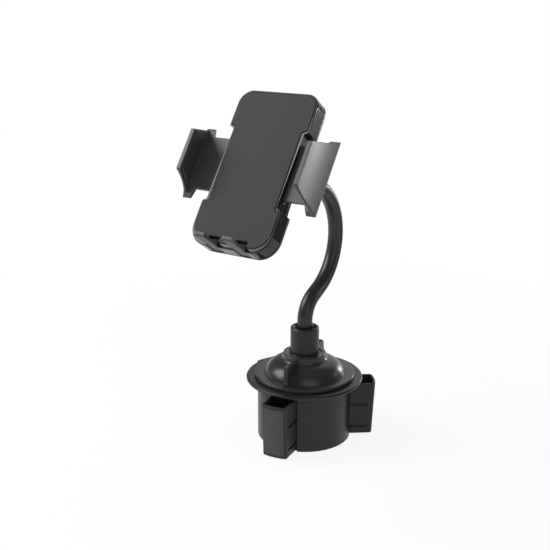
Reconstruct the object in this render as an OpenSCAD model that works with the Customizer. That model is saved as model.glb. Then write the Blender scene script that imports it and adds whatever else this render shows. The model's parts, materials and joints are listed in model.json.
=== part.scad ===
// Phone mount for a car's cup holder: an expanding round base, a bent
// gooseneck and a spring-opened phone cradle on a ball joint.
// Millimetres. The origin is on the base's axis at its underside, +Z is up
// and the cradle faces -Y. The rest pose has the fins out and the jaws open.

/* [Base] */
// Outer radius of the base's round body
body_r = 33; // [31:0.5:38]
// Height of the body up to the underside of its flange
body_h = 41.8; // [37:0.1:50]
// How far the flange, which rests on the cup holder's edge, stands out past the body
flange_over = 8; // [6:0.5:12]
// Turn of the fins and the knob about the base's axis, in degrees
base_turn = 7.5; // [-20:0.5:20]
// How far each fin moves out of the body
fin_travel = 15; // [10:0.5:15]
// Width of a fin
fin_w = 18; // [15:0.5:20]

/* [Knob] */
// How far the knob's rim reaches past the body
knob_over = 1.9; // [1:0.1:4]
// Height of the knob's hub above the flange
knob_h = 17.1; // [15:0.1:21]

/* [Neck] */
// Outer radius of the gooseneck's sleeve
neck_r = 5.3; // [4.8:0.1:6]
// Centreline radius of the lower bend, which leans back
low_bend_r = 18; // [15:1:24]
// Angle of the lower bend, in degrees
low_bend = 64; // [50:1:70]
// Centreline radius of the upper bend, which comes forward again
top_bend_r = 40; // [36:1:50]
// Angle of the upper bend, in degrees
top_bend = 136; // [120:1:145]

/* [Cradle] */
// How far the cradle leans back from upright, in degrees
lean = 34.7; // [10:0.1:45]
// Width of the cradle's back plate
cradle_w = 59; // [56:0.5:66]
// Height of the cradle's back plate
cradle_h = 106; // [95:0.5:120]
// Distance that each arm closes
arm_travel = 15; // [10:0.5:15]
// Distance from the lip of a jaw back to the phone's rear face
jaw_depth = 15.5; // [11:0.5:18]
// Reach of the two bottom hooks in front of the plate
hook_reach = 15; // [12:0.5:18]

/* [Hidden] */
$fn = 64;
// Free gap between pieces that move past each other
gap = 0.3;
// Radial clearance of a running fit
run = 0.05;
// Overlap that makes one solid of two shapes
lap = 0.2;
wall = 2.2;

// Base heights and radii
cover_t = 2.8;
cover_fit = 0.2;
flange_t = 2.5;
flange_top = body_h + flange_t;
flange_r = body_r + flange_over;
// Fins: hollow boxes whose curved outer face leans out towards the top
fin_bottom = 1.5;
fin_top = body_h - 2.3;
fin_h = fin_top - fin_bottom;
fin_wall = 1.7;
fin_lean = 1.8;
fin_out = body_r + fin_travel + 0.5;
fin_in = fin_out - 20;
fin_curve = 36;
fin_round = 2.2;
fin_slack = 0.4;
facing_t = 1.2;
facing_side = 1.6;
facing_end = 2.2;
groove_z = [7.4, 24];
groove_h = 1.8;
groove_d = 1.1;
// Windows in the body that the fins come out of, a little higher than the fins
slot_half = fin_w / 2 + fin_slack;
window_in = body_r - wall - 2;
window_top = fin_top + 1.6;
// Rails beside each fin, and the ribs on them that run in the fin's grooves
rail_t = 1.8;
rail_in = body_r - 16;
rail_side = slot_half + rail_t;
rail_out = sqrt(pow(body_r - wall / 2, 2) - rail_side * rail_side);
rib_h = groove_h - 2 * gap;
rib_out = groove_d - 0.2;
groove_out = window_in + fin_travel + gap;
// Screws that hold the cover to bosses between the fins
cover_ring = body_r - 6.5;
boss_r_low = 3.4;
boss_h_low = 11;
boss_web = 2.4;
cover_screw_r = 1.5;
cover_head_r = 2.5;
cover_head_h = 1.1;
fins = [-90 + base_turn, 30 + base_turn, 150 + base_turn];

// Scroll: each turn of the knob by one radian moves the fins by scroll_rate
scroll_rate = 4;
pin_r = 1.9;
pin_out = body_r - 7;
scroll_r = body_r - wall - 0.5;
scroll_z = fin_top + 0.8;
scroll_t = 3.2;
scroll_turn = fin_travel / scroll_rate * 180 / PI;
slot_steps = 60;
tongue_w = 12;
tongue_t = 4;
post_r = 6;
post_foot_r = 9.5;
post_foot_h = 4;
post_peg_r = 4.5;
post_peg_z = 1.2;
screw_ring = post_r + 2;
screw_turn = 85;
screw_r = 0.85;

// Knob: a domed cap with a hub on top, a flat skirt and two grip wings
knob_r = body_r + knob_over;
knob_z = flange_top + gap;
hub_top = flange_top + knob_h;
hub_r = 15.1;
hub_h = 5.4;
edge_r = 0.8;
flare_r = 3;
dome_r = 14.6;
dome_mid = [14.5, knob_z - 2.4];
dome_wall = 2.2;
skirt_t = 1.6;
skirt_in = dome_mid[0] + dome_r - dome_wall;
sleeve_r = 10;
seat_w = 1.6;
wing_t = 3.2;
wing_r = knob_r - 5.4;
wing_foot = wing_r + 1.5;
grip_r = 0.55;
grips = 4;
grip_step = 2.2;

// Lower ferrule and neck path, in the Y-Z plane
ferrule_r = 10;
ferrule_z = hub_top + gap;
ferrule_h = 18.6;
ferrule_top = ferrule_z + ferrule_h;
bore_z = ferrule_z + 9;
bore_web = 0.8;
core_r = neck_r - 1.4;
// Small step in radius between the bends and the straight lengths
seam = 0.02;
bend_z = ferrule_top + 3.7;
mid_len = 8;
a_mid = [low_bend_r, bend_z];
a_end = a_mid + low_bend_r * [-cos(low_bend), sin(low_bend)];
low_dir = 90 - low_bend;
low_step = [cos(low_dir), sin(low_dir)];
b_start = a_end + mid_len * low_step;
b_mid = b_start + top_bend_r * [-sin(low_dir), cos(low_dir)];
end_dir = low_dir + top_bend;
b_end = b_mid + top_bend_r * [cos(end_dir - 90), sin(end_dir - 90)];
end_step = [cos(end_dir), sin(end_dir)];
sleeve_end = 26;
cap_start = 14;
cap_end = 32;
ball_at = 50;
ball_mid = b_end + ball_at * end_step;
// Bending points of the neck: halfway up the straight, and on the upper bend
core_gap = 1.6;
bend_two = 84;
gap_angle = core_gap / top_bend_r * 180 / PI;

// Cradle depths, from the pad's face at 0 towards the back
ball_n = -25;
ball_v = 6.6;
rim_n = -0.5;
seat_n = -1.4;
face_n = -3.2;
arm_n1 = -3.6;
arm_n0 = -6.4;
rack_n0 = -9.8;
rack_n1 = arm_n0 - gap;
shell_n = -10.2;
back_n = -12.4;
cradle_at = ball_mid + ball_n * [cos(lean), -sin(lean)] - ball_v * [sin(lean), cos(lean)];
plate_top = cradle_h / 2 - 1.5;
plate_low = -cradle_h / 2 - 1.5;
half_w = cradle_w / 2;
corner_top = 9.5;
corner_low = 13;
shell_wall = 1.8;
// The pad's seat stops short of the plate's edge, further at the bottom
pad_in = 1.2;
pad_drop = 1.8;
pad_fit = 0.15;
// Notches in the plate's sides, where the jaws nest when they are closed
notch_u = half_w - 3.5;
notch_v = 24.2;
notch_slope = 1.8;

// Arms and jaws, as distances from the cradle's middle
arm_half = 18;
stop_half = 20.5;
stop_w = 2.3;
stop_u = notch_u - shell_wall - gap - stop_w;
flange_u = notch_u + arm_travel + 0.4;
jaw_half = notch_v - 2 * gap;
jaw_ear = 2.2;
// The jaw's wall leans in from its foot to the lip
lip_half = 13.8;
lip_u = flange_u + 3.3;
lip_in = lip_u - 3.2;
jaw_u = lip_u + 3.3;
jaw_in = jaw_u - 2.1;
function jaw_inner(n) = jaw_in + (lip_in - jaw_in) * (n - arm_n1) / (jaw_depth - arm_n1);
// Its outer face is hollow, from a point near the back up to the lip
jaw_curve = 60;
hollow_n = arm_n0 + 1.4;
hollow_chord = [lip_u - jaw_u, jaw_depth - hollow_n];
hollow_side = [hollow_chord[1], -hollow_chord[0]] / norm(hollow_chord);
hollow_depth = sqrt(jaw_curve * jaw_curve - hollow_chord * hollow_chord / 4);
hollow_mid = ([jaw_u, hollow_n] + [lip_u, jaw_depth]) / 2 + hollow_depth * hollow_side;
jaw_pad_t = 1.5;
jaw_pad_inset = 1.8;
jaw_pad_end = jaw_depth - 0.6;
jaw_pad_slope = jaw_depth - 4;

// Rack and pinion
module_mm = 0.8;
teeth = 14;
pitch_r = module_mm * teeth / 2;
pressure = 20;
tooth_add = 0.8 * module_mm;
tooth_ded = 1.05 * module_mm;
backlash = 0.2;
bar_h = 3.4;
axle_r = 1.5;
pinion_n0 = rack_n0 + 0.2;
pinion_n1 = arm_n0 - 0.4;

// Release button
button_v = -30;
button_r = 5.5;
button_out = 1.8;
button_press = 1.5;

// Bottom hooks: a thin curved ramp on a leg that slides inside the cradle
hook_u = 10.2;
hook_w = 7.5;
hook_low = plate_low + 0.5;
hook_root = 5.4;
hook_t = 2;
ramp_r = 22;
ramp_n = 8.4;
hook_nose = 0.8;
leg_n = [-8.4, -4.4];
hook_leg = 16;

// Ball joint
ball_r = 8;
stud_r = 3.6;
liner_t = 1.45;
cup_r = ball_r + run + liner_t + gap;
boss_r = 13;
nut_r = 16.3;
lip_back = 4.8;
nut_front = ball_n + 7;

// Helpers

// Places a shape that is drawn upright onto the leaning cradle
module in_cradle() {
    translate([0, cradle_at[0], cradle_at[1]])
        rotate([-lean, 0, 0])
            children();
}

// Extrudes a front-view outline of the cradle between two depths
module layer(n0, n1) {
    translate([0, -n0, 0])
        rotate([90, 0, 0])
            linear_extrude(n1 - n0)
                children();
}

// Extrudes an end-view outline (across, depth) along the cradle's height
module along(half) {
    translate([0, 0, -half])
        linear_extrude(2 * half)
            mirror([0, 1])
                children();
}

// Turns a side-view outline (depth, height) into a slab across the cradle
module across(u0, u1) {
    translate([u0, 0, 0])
        rotate([90, 0, 90])
            linear_extrude(u1 - u0)
                mirror([1, 0])
                    children();
}

// Places a shape at a point of the neck's plane, with its Z along a heading
module on_neck(point, heading) {
    translate([0, point[0], point[1]])
        rotate([heading - 90, 0, 0])
            children();
}

// One bend of a round bar in the neck's plane
module bend(mid, radius, from, sweep, r, hole) {
    translate([0, mid[0], mid[1]])
        rotate([90, 0, 90])
            rotate([0, 0, from])
                rotate_extrude(angle = sweep, $fn = 128)
                    translate([radius, 0])
                        difference() {
                            circle(r);
                            if (hole > 0)
                                circle(hole);
                        }
}

module tube(r, hole, h) {
    difference() {
        cylinder(r = r, h = h);
        translate([0, 0, -1])
            cylinder(r = hole, h = h + 2);
    }
}

// Rounded outline of the cradle's plate, drawn smaller by inset and raised at the bottom by
// drop, with its two side notches
module plate_outline(inset, drop = 0) {
    w = half_w - inset;
    top = plate_top - inset;
    low = plate_low + inset + drop;
    rt = corner_top - inset;
    rb = corner_low - inset;
    difference() {
        union() {
            for (s = [-1, 1]) {
                translate([s * (w - rt), top - rt])
                    circle(rt);
                translate([s * (w - rb), low + rb])
                    circle(rb);
            }
            translate([-w, low + rb])
                square([2 * w, top - rt - low - rb]);
            translate([-(w - rt), top - rt - lap])
                square([2 * (w - rt), rt + lap]);
            translate([-(w - rb), low])
                square([2 * (w - rb), rb + lap]);
        }
        for (s = [-1, 1])
            polygon([
                [s * (notch_u - inset), notch_v + inset],
                [s * (notch_u - inset), -notch_v - inset],
                [s * (half_w - 0.3), -notch_v - notch_slope - inset],
                [s * (half_w + 1), -notch_v - notch_slope - inset],
                [s * (half_w + 1), notch_v + notch_slope + inset],
                [s * (half_w - 0.3), notch_v + notch_slope + inset]
            ]);
    }
}

// Base

module fin_channel() {
    for (a = fins)
        rotate([0, 0, a])
            children();
}

// Places a shape between the fins, at the cover's screws
module cover_spots() {
    for (a = fins)
        rotate([0, 0, a + 60])
            translate([cover_ring, 0, 0])
                children();
}

module base_housing() {
    rib_side = slot_half - rib_out;
    color("#1d1d1f")
    difference() {
        union() {
            tube(body_r, body_r - wall, body_h + lap);
            translate([0, 0, body_h])
                rotate_extrude($fn = 128) {
                    translate([body_r - wall, 0])
                        square([flange_over + wall - flange_t / 2, flange_t]);
                    translate([flange_r - flange_t / 2, flange_t / 2])
                        circle(flange_t / 2);
                }
            fin_channel()
                for (s = [0, 1])
                    mirror([0, s, 0]) {
                        translate([rail_in, slot_half, cover_t + gap])
                            cube([rail_out - rail_in, rail_t, fin_top - cover_t - gap]);
                        for (z = groove_z)
                            translate([rail_in, rib_side, z - rib_h / 2])
                                cube([window_in - rail_in + lap, rib_out + lap, rib_h]);
                    }
            cover_spots() {
                translate([0, 0, cover_t])
                    cylinder(r = boss_r_low, h = boss_h_low);
                translate([0, -boss_web / 2, cover_t])
                    cube([body_r - wall / 2 - cover_ring, boss_web, boss_h_low]);
            }
        }
        fin_channel()
            translate([window_in, -slot_half, -1])
                cube([body_r, 2 * slot_half, window_top + 1]);
        cover_spots()
            translate([0, 0, cover_t - 1])
                cylinder(r = cover_screw_r, h = boss_h_low - 1);
    }
}

module base_cover() {
    color("#18181a")
    difference() {
        cylinder(r = body_r - wall - cover_fit, h = cover_t);
        fin_channel()
            translate([post_foot_r + 1.5, -fin_w / 2 - gap, -1])
                cube([body_r, fin_w + 2 * gap, cover_t + 2]);
        cover_spots()
            translate([0, 0, -1]) {
                cylinder(r = cover_screw_r + cover_fit, h = cover_t + 2);
                cylinder(r = cover_head_r + cover_fit, h = cover_head_h + 1.3);
            }
        translate([0, 0, post_peg_z])
            cylinder(r = post_peg_r, h = cover_t);
    }
}

module cover_screws() {
    color("#8d9094")
    cover_spots() {
        translate([0, 0, gap])
            cylinder(r = cover_head_r, h = cover_head_h);
        translate([0, 0, gap + cover_head_h - lap])
            cylinder(r = cover_screw_r, h = boss_h_low - 1.5);
    }
}

module centre_post() {
    color("#77797d") {
        translate([0, 0, post_peg_z])
            cylinder(r = post_peg_r, h = cover_t);
        translate([0, 0, cover_t])
            cylinder(r = post_foot_r, h = post_foot_h);
        translate([0, 0, cover_t])
            cylinder(r = post_r, h = bore_z - cover_t - bore_web);
    }
}

// Middle line of a scroll slot at an angle turned back from its fin, and the way across it
function slot_r(t) = pin_out - scroll_rate * t * PI / 180;
function slot_dir(t) = let (k = scroll_rate / slot_r(t), l = sqrt(1 + k * k)) [1 / l, -k / l];
function slot_side(t, w) = let (d = slot_dir(t), r = slot_r(t) + w * d[0], s = w * d[1])
    [r * cos(-t) - s * sin(-t), r * sin(-t) + s * cos(-t)];

module scroll_slot(half) {
    polygon(concat(
        [for (i = [0 : slot_steps]) slot_side(i * scroll_turn / slot_steps, half)],
        [for (i = [slot_steps : -1 : 0]) slot_side(i * scroll_turn / slot_steps, -half)]));
    for (t = [0, scroll_turn])
        rotate(-t)
            translate([slot_r(t), 0])
                circle(half + 0.02);
}

module scroll_disc() {
    color("#2a2a2c")
    translate([0, 0, scroll_z])
        difference() {
            cylinder(r = scroll_r, h = scroll_t);
            translate([0, 0, -1])
                cylinder(r = post_r + run, h = scroll_t + 2);
            fin_channel()
                translate([0, 0, -1])
                    linear_extrude(scroll_t + 2)
                        scroll_slot(pin_r + gap);
            for (a = fins)
                rotate([0, 0, a + screw_turn])
                    translate([screw_ring, 0, -1]) {
                        cylinder(r = screw_r + run, h = scroll_t + 2);
                        cylinder(r = screw_r + 0.65, h = 2.2);
                    }
        }
}

module scroll_screws() {
    color("#8d9094")
    translate([0, 0, scroll_z])
        for (a = fins)
            rotate([0, 0, a + screw_turn])
                translate([screw_ring, 0, 0]) {
                    translate([0, 0, 0.2])
                        cylinder(r = screw_r + 0.55, h = 1);
                    translate([0, 0, 1.1])
                        cylinder(r = screw_r, h = 7);
                }
}

// Half of the knob's section, to be turned about its axis
module knob_section() {
    flare_z = dome_mid[1] + sqrt(pow(dome_r + flare_r, 2) - pow(hub_r + flare_r - dome_mid[0], 2));
    difference() {
        union() {
            translate([post_r + run, scroll_z + scroll_t])
                square([sleeve_r - post_r - run, hub_top - hub_h + 1 - scroll_z - scroll_t]);
            translate([0, knob_z])
                intersection() {
                    translate(dome_mid - [0, knob_z])
                        difference() {
                            circle(dome_r);
                            circle(dome_r - dome_wall);
                        }
                    translate([sleeve_r - 1, 0])
                        square(3 * dome_r);
                }
            difference() {
                translate([hub_r - 1, flare_z - flare_r - 1])
                    square([flare_r + 1, flare_r + 1]);
                translate([hub_r + flare_r - 0.1, flare_z - 0.1])
                    circle(flare_r);
                translate([hub_r + flare_r - lap, flare_z - flare_r - 2])
                    square([1, flare_r + 2]);
            }
            translate([post_r + run, hub_top - hub_h])
                square([hub_r - post_r - run, hub_h - edge_r]);
            translate([post_r + run, hub_top - hub_h])
                square([hub_r - post_r - run - edge_r, hub_h]);
            translate([hub_r - edge_r, hub_top - edge_r])
                circle(edge_r);
            translate([skirt_in, knob_z])
                square([knob_r - skirt_in, skirt_t - edge_r]);
            translate([skirt_in, knob_z])
                square([knob_r - skirt_in - edge_r, skirt_t]);
            translate([knob_r - edge_r, knob_z + skirt_t - edge_r])
                circle(edge_r);
        }
        translate([ferrule_r + 0.6, hub_top - 0.7])
            square([seat_w, 2]);
    }
}

// A grip wing, from the hub out to the skirt, with small ridges on its outer edge
module wing_outline() {
    foot_z = knob_z + skirt_t - lap;
    top = [wing_r, hub_top - 1.6];
    down = ([wing_foot, foot_z] - top) / norm([wing_foot, foot_z] - top);
    polygon([
        [hub_r - 0.6, hub_top - 7],
        [hub_r - 0.6, hub_top - 3.2],
        [wing_r - 1.4, hub_top - 0.4],
        top,
        [wing_foot, foot_z],
        [skirt_in - 0.4, foot_z],
        [skirt_in - 0.4, knob_z + 5],
        [dome_mid[0] + 5.5, knob_z + 10]
    ]);
    for (i = [1 : grips])
        translate(top + i * grip_step * down)
            circle(grip_r, $fn = 24);
}

module knob() {
    color("#161618")
    difference() {
        union() {
            rotate_extrude($fn = 128)
                knob_section();
            for (a = [fins[0], fins[0] + 180])
                rotate([0, 0, a])
                    translate([0, wing_t / 2, 0])
                        rotate([90, 0, 0])
                            linear_extrude(wing_t)
                                wing_outline();
        }
        for (a = fins)
            rotate([0, 0, a + screw_turn])
                translate([screw_ring, 0, scroll_z + scroll_t - 1])
                    cylinder(r = screw_r, h = 6.2);
    }
}

// Plan of a fin, drawn smaller by inset: straight sides, a curved face and rounded corners
module fin_plan(inset) {
    half = fin_w / 2 - inset;
    r = fin_curve - inset;
    c = fin_round - inset;
    mid = fin_out - fin_curve;
    corner = [sqrt(pow(r - c, 2) - pow(half - c, 2)), half - c];
    translate([fin_in - 8, -half])
        square([mid + corner[0] - fin_in + 8, 2 * half]);
    translate([mid, 0]) {
        for (s = [-1, 1])
            translate([corner[0], s * corner[1]])
                circle(c, $fn = 48);
        intersection() {
            circle(r, $fn = 128);
            polygon([[0, 0], 1.5 * corner, 1.5 * [corner[0], -corner[1]]]);
        }
    }
}

// The plan drawn out along the lean of the fin's face
module fin_block(inset) {
    translate([0, 0, fin_bottom])
        rotate([0, atan(fin_lean / fin_h), 0])
            translate([0, 0, -3])
                linear_extrude(fin_h + 9)
                    fin_plan(inset);
}

module facing_block() {
    translate([fin_out - 6, facing_side - fin_w / 2, fin_bottom + facing_end])
        cube([20, fin_w - 2 * facing_side, fin_h - 2 * facing_end]);
}

module fin() {
    color("#202023")
    difference() {
        union() {
            intersection() {
                fin_block(0);
                translate([fin_in, -fin_w, fin_bottom])
                    cube([60, 2 * fin_w, fin_h]);
            }
            translate([pin_out - pin_r - 1, -tongue_w / 2, fin_top - tongue_t])
                cube([fin_in - pin_out + pin_r + 1 + lap, tongue_w, tongue_t]);
        }
        intersection() {
            fin_block(fin_wall);
            translate([fin_in + fin_wall, -fin_w, fin_bottom + fin_wall])
                cube([60, 2 * fin_w, fin_h]);
        }
        for (s = [-1, 1])
            for (z = groove_z)
                translate([fin_in - 1, s * fin_w / 2 - groove_d, z - groove_h / 2])
                    cube([groove_out - fin_in + 1, 2 * groove_d, groove_h]);
        difference() {
            facing_block();
            fin_block(facing_t);
        }
        translate([pin_out, 0, fin_top - tongue_t - 1])
            cylinder(r = pin_r - 0.4, h = tongue_t + 2);
    }
}

module fin_pad() {
    color("#29292b")
    difference() {
        intersection() {
            fin_block(0);
            facing_block();
        }
        fin_block(facing_t);
    }
}

module fin_pin() {
    color("#8d9094")
    translate([pin_out, 0, 0]) {
        translate([0, 0, fin_top - tongue_t])
            cylinder(r = pin_r - 0.4, h = tongue_t + lap);
        translate([0, 0, fin_top])
            cylinder(r = pin_r, h = scroll_z + scroll_t - fin_top - 0.6);
    }
}

module fin_front() {
    rotate([0, 0, fins[0]])
        fin();
}

module fin_right() {
    rotate([0, 0, fins[1]])
        fin();
}

module fin_left() {
    rotate([0, 0, fins[2]])
        fin();
}

module fin_pad_front() {
    rotate([0, 0, fins[0]])
        fin_pad();
}

module fin_pad_right() {
    rotate([0, 0, fins[1]])
        fin_pad();
}

module fin_pad_left() {
    rotate([0, 0, fins[2]])
        fin_pad();
}

module fin_pin_front() {
    rotate([0, 0, fins[0]])
        fin_pin();
}

module fin_pin_right() {
    rotate([0, 0, fins[1]])
        fin_pin();
}

module fin_pin_left() {
    rotate([0, 0, fins[2]])
        fin_pin();
}

// Neck

module neck_ferrule() {
    color("#232325")
    translate([0, 0, ferrule_z])
        difference() {
            union() {
                cylinder(r = ferrule_r, h = ferrule_h - 0.8);
                translate([0, 0, ferrule_h - 0.8])
                    cylinder(r1 = ferrule_r, r2 = ferrule_r - 0.8, h = 0.8);
            }
            translate([0, 0, -1])
                cylinder(r = post_r, h = bore_z - ferrule_z - bore_web + 1);
            translate([0, 0, bore_z - ferrule_z])
                cylinder(r = neck_r, h = ferrule_h);
            translate([0, 0, ferrule_h - 2.6])
                cylinder(r1 = neck_r + 0.5, r2 = ferrule_r - 1.6, h = 2.7);
        }
}

module neck_sleeve() {
    hole = core_r + run;
    color("#19191b") {
        translate([0, 0, bore_z])
            tube(neck_r, hole, bend_z - bore_z + lap);
        bend(a_mid, low_bend_r, 180 - low_bend, low_bend, neck_r - seam, hole + seam);
        on_neck(a_end - lap * low_step, low_dir)
            tube(neck_r, hole, mid_len + 2 * lap);
        bend(b_mid, top_bend_r, low_dir - 90, top_bend, neck_r - seam, hole + seam);
        on_neck(b_end - lap * end_step, end_dir)
            tube(neck_r, hole, sleeve_end + lap);
    }
}

module neck_core_low() {
    color("#8d9094") {
        translate([0, 0, bore_z])
            cylinder(r = core_r, h = bend_z - bore_z + lap);
        bend(a_mid, low_bend_r, 180 - low_bend, low_bend, core_r - seam, 0);
        on_neck(a_end - lap * low_step, low_dir)
            cylinder(r = core_r, h = mid_len / 2 - core_gap + lap);
    }
}

module neck_core_mid() {
    color("#8d9094") {
        on_neck(a_end + (mid_len / 2 + core_gap) * low_step, low_dir)
            cylinder(r = core_r, h = mid_len / 2 - core_gap + lap);
        bend(b_mid, top_bend_r, low_dir - 90, bend_two - gap_angle, core_r - seam, 0);
    }
}

module neck_core_top() {
    color("#8d9094") {
        bend(b_mid, top_bend_r, low_dir - 90 + bend_two + gap_angle,
            top_bend - bend_two - gap_angle, core_r - seam, 0);
        on_neck(b_end - lap * end_step, end_dir)
            cylinder(r = core_r, h = sleeve_end + gap + lap);
    }
}

module neck_cap() {
    cap_r = 8;
    color("#232325")
    on_neck(b_end, end_dir)
        difference() {
            translate([0, 0, cap_start])
                union() {
                    cylinder(r1 = cap_r - 1, r2 = cap_r, h = 1);
                    translate([0, 0, 1])
                        cylinder(r = cap_r, h = cap_end - cap_start - 2);
                    translate([0, 0, cap_end - cap_start - 1])
                        cylinder(r1 = cap_r, r2 = cap_r - 1, h = 1);
                }
            translate([0, 0, cap_start - 1])
                cylinder(r = neck_r + run, h = sleeve_end + gap - cap_start + 1);
            translate([0, 0, sleeve_end])
                cylinder(r = stud_r - 0.8, h = cap_end - sleeve_end + 1);
        }
}

// Ball joint

module ball_stud() {
    color("#9a9da1")
    on_neck(b_end, end_dir) {
        translate([0, 0, sleeve_end + gap])
            cylinder(r = stud_r - 0.8, h = cap_end - sleeve_end);
        translate([0, 0, cap_end])
            cylinder(r = stud_r, h = ball_at - cap_end - ball_r / 2);
        translate([0, 0, ball_at])
            sphere(ball_r, $fn = 96);
    }
}

module ball_liner() {
    color("#d9d6cc")
    on_neck(ball_mid, end_dir)
        difference() {
            sphere(ball_r + run + liner_t, $fn = 96);
            sphere(ball_r + run, $fn = 96);
            translate([-20, -20, -33])
                cube([40, 40, 30]);
            translate([-20, -20, 5])
                cube([40, 40, 30]);
        }
}

module lock_nut() {
    flutes = 12;
    color("#1b1b1d")
    in_cradle()
        translate([0, -ball_n, ball_v])
            rotate([90, 0, 0])
                difference() {
                    translate([0, 0, -lip_back])
                        union() {
                            cylinder(r1 = nut_r - 1.2, r2 = nut_r, h = 1.2);
                            translate([0, 0, 1.2])
                                cylinder(r = nut_r, h = nut_front - ball_n + lip_back - 1.2);
                        }
                    translate([0, 0, 1 - gap])
                        cylinder(r = boss_r + gap, h = 20);
                    sphere(cup_r, $fn = 96);
                    translate([0, 0, -lip_back - 1])
                        cylinder(r1 = cup_r - 0.3, r2 = cup_r - 1.3, h = 2);
                    for (i = [0 : flutes - 1])
                        rotate([0, 0, i * 360 / flutes])
                            translate([nut_r + 1.4, 0, -10])
                                cylinder(r = 2.4, h = 40, $fn = 32);
                }
}

// Cradle

module hook_slots() {
    for (s = [-1, 1])
        across(s * hook_u - hook_w / 2 - gap, s * hook_u + hook_w / 2 + gap)
            children();
}

module back_screw_spots() {
    for (s = [-1, 1])
        for (v = [plate_top - 10.5, plate_low + 14])
            translate([s * 22.5, v])
                children();
}

module cradle_front() {
    color("#151517")
    in_cradle()
        difference() {
            union() {
                layer(face_n, rim_n)
                    plate_outline(0);
                layer(shell_n, face_n + lap)
                    difference() {
                        plate_outline(0);
                        plate_outline(shell_wall);
                    }
                layer(shell_n, face_n + lap)
                    back_screw_spots()
                        circle(3.4);
                layer(arm_n0, face_n + lap)
                    rotate(35)
                        translate([6.05, 0])
                            circle(0.5, $fn = 24);
            }
            layer(seat_n, 1)
                plate_outline(pad_in, pad_drop);
            for (s = [-1, 1])
                layer(arm_n0 - gap, arm_n1 + gap)
                    translate([s * (notch_u - 3), 0])
                        square([10, 2 * arm_half + 2 * gap], center = true);
            hook_slots()
                translate([shell_n - 1, plate_low - 1])
                    square([20, hook_root + 1.5]);
            layer(shell_n - 1, face_n - 0.6)
                back_screw_spots()
                    circle(1.2);
            layer(-5, face_n + 0.8)
                circle(axle_r);
        }
}

module cradle_back() {
    color("#171719")
    in_cradle()
        difference() {
            union() {
                layer(back_n, shell_n)
                    plate_outline(0);
                layer(shell_n - lap, shell_n + 0.9)
                    difference() {
                        plate_outline(shell_wall + 0.15);
                        plate_outline(shell_wall + 1.3);
                        translate([-20, plate_low])
                            square([40, 20]);
                        back_screw_spots()
                            circle(3.6);
                        translate([-40, -stop_half - 1])
                            square([80, 2 * stop_half + 2]);
                    }
                layer(ball_n + 1, back_n + lap)
                    translate([0, ball_v])
                        circle(boss_r);
            }
            translate([0, -ball_n, ball_v])
                sphere(cup_r, $fn = 96);
            layer(back_n - 5, shell_n + 5)
                translate([0, button_v])
                    circle(button_r + gap);
            layer(-11.6, shell_n + 1)
                circle(axle_r);
            layer(back_n - 1, shell_n + 1)
                back_screw_spots()
                    circle(1.4);
            layer(back_n - 1, back_n + 1)
                back_screw_spots()
                    circle(2.6);
        }
}

module back_screws() {
    color("#2c2c2e")
    in_cradle() {
        layer(back_n + 0.1, back_n + 1)
            back_screw_spots()
                circle(2.4);
        layer(back_n + 0.9, face_n - 1)
            back_screw_spots()
                circle(1.2);
    }
}

module phone_pad() {
    color("#3b3b3d")
    in_cradle()
        difference() {
            layer(seat_n, 0)
                plate_outline(pad_in + pad_fit, pad_drop);
            hook_slots()
                translate([-3, plate_low - 1])
                    square([20, hook_root + 2.2]);
        }
}

// Side profile of a jaw, as depth and height: ears at the back, a shorter lip in front
module jaw_side(inset) {
    lip = [jaw_depth, lip_half - inset];
    side = [[arm_n0, jaw_half - inset], [arm_n1, jaw_half - inset],
        [arm_n1 + jaw_ear, jaw_half - jaw_ear - inset], lip];
    polygon(concat(side, [for (i = [len(side) - 1 : -1 : 0]) [side[i][0], -side[i][1]]]));
}

// Teeth of the rack on a straight pitch line
module rack_teeth(count) {
    pitch = PI * module_mm;
    half = pitch / 4 - backlash / 2;
    tip = half - tooth_add * tan(pressure);
    root = half + tooth_ded * tan(pressure);
    for (i = [0 : count - 1])
        translate([i * pitch, 0])
            polygon([[-root, -tooth_ded - lap], [-root, -tooth_ded], [-tip, tooth_add], [tip, tooth_add],
                [root, -tooth_ded], [root, -tooth_ded - lap]]);
}

// The right arm; the left one is the same piece turned half round
module arm() {
    pitch = PI * module_mm;
    bar_end = -2 * pitch - 0.9;
    layer(arm_n0, arm_n1) {
        translate([stop_u, -arm_half])
            square([jaw_in - stop_u, 2 * arm_half]);
        translate([stop_u, -stop_half])
            square([stop_w, 2 * stop_half]);
    }
    difference() {
        union() {
            layer(arm_n0, arm_n1)
                polygon([
                    [flange_u, arm_half + 0.8],
                    [flange_u, -arm_half - 0.8],
                    [flange_u + 1.6, -jaw_half],
                    [jaw_u, -jaw_half],
                    [jaw_u, jaw_half],
                    [flange_u + 1.6, jaw_half]
                ]);
            intersection() {
                along(jaw_half + 1)
                    polygon([
                        [jaw_in, arm_n0],
                        [jaw_u, arm_n0],
                        [jaw_u, jaw_depth],
                        [lip_in, jaw_depth],
                        [jaw_in, arm_n1]
                    ]);
                across(lip_in - 1, jaw_u + 1)
                    jaw_side(0);
            }
        }
        along(jaw_half + 1)
            translate(hollow_mid)
                circle(jaw_curve, $fn = 256);
    }
    layer(rack_n0, arm_n0 + lap)
        translate([stop_u, -stop_half])
            square([stop_w, stop_half - pitch_r - tooth_ded]);
    layer(rack_n0, rack_n1) {
        translate([bar_end, -pitch_r - tooth_ded - bar_h])
            square([stop_u + stop_w - bar_end, bar_h]);
        translate([-2 * pitch, -pitch_r])
            rack_teeth(11);
    }
}

module arm_right() {
    color("#19191b")
    in_cradle()
        arm();
}

module arm_left() {
    color("#19191b")
    in_cradle()
        rotate([0, 180, 0])
            arm();
}

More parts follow.
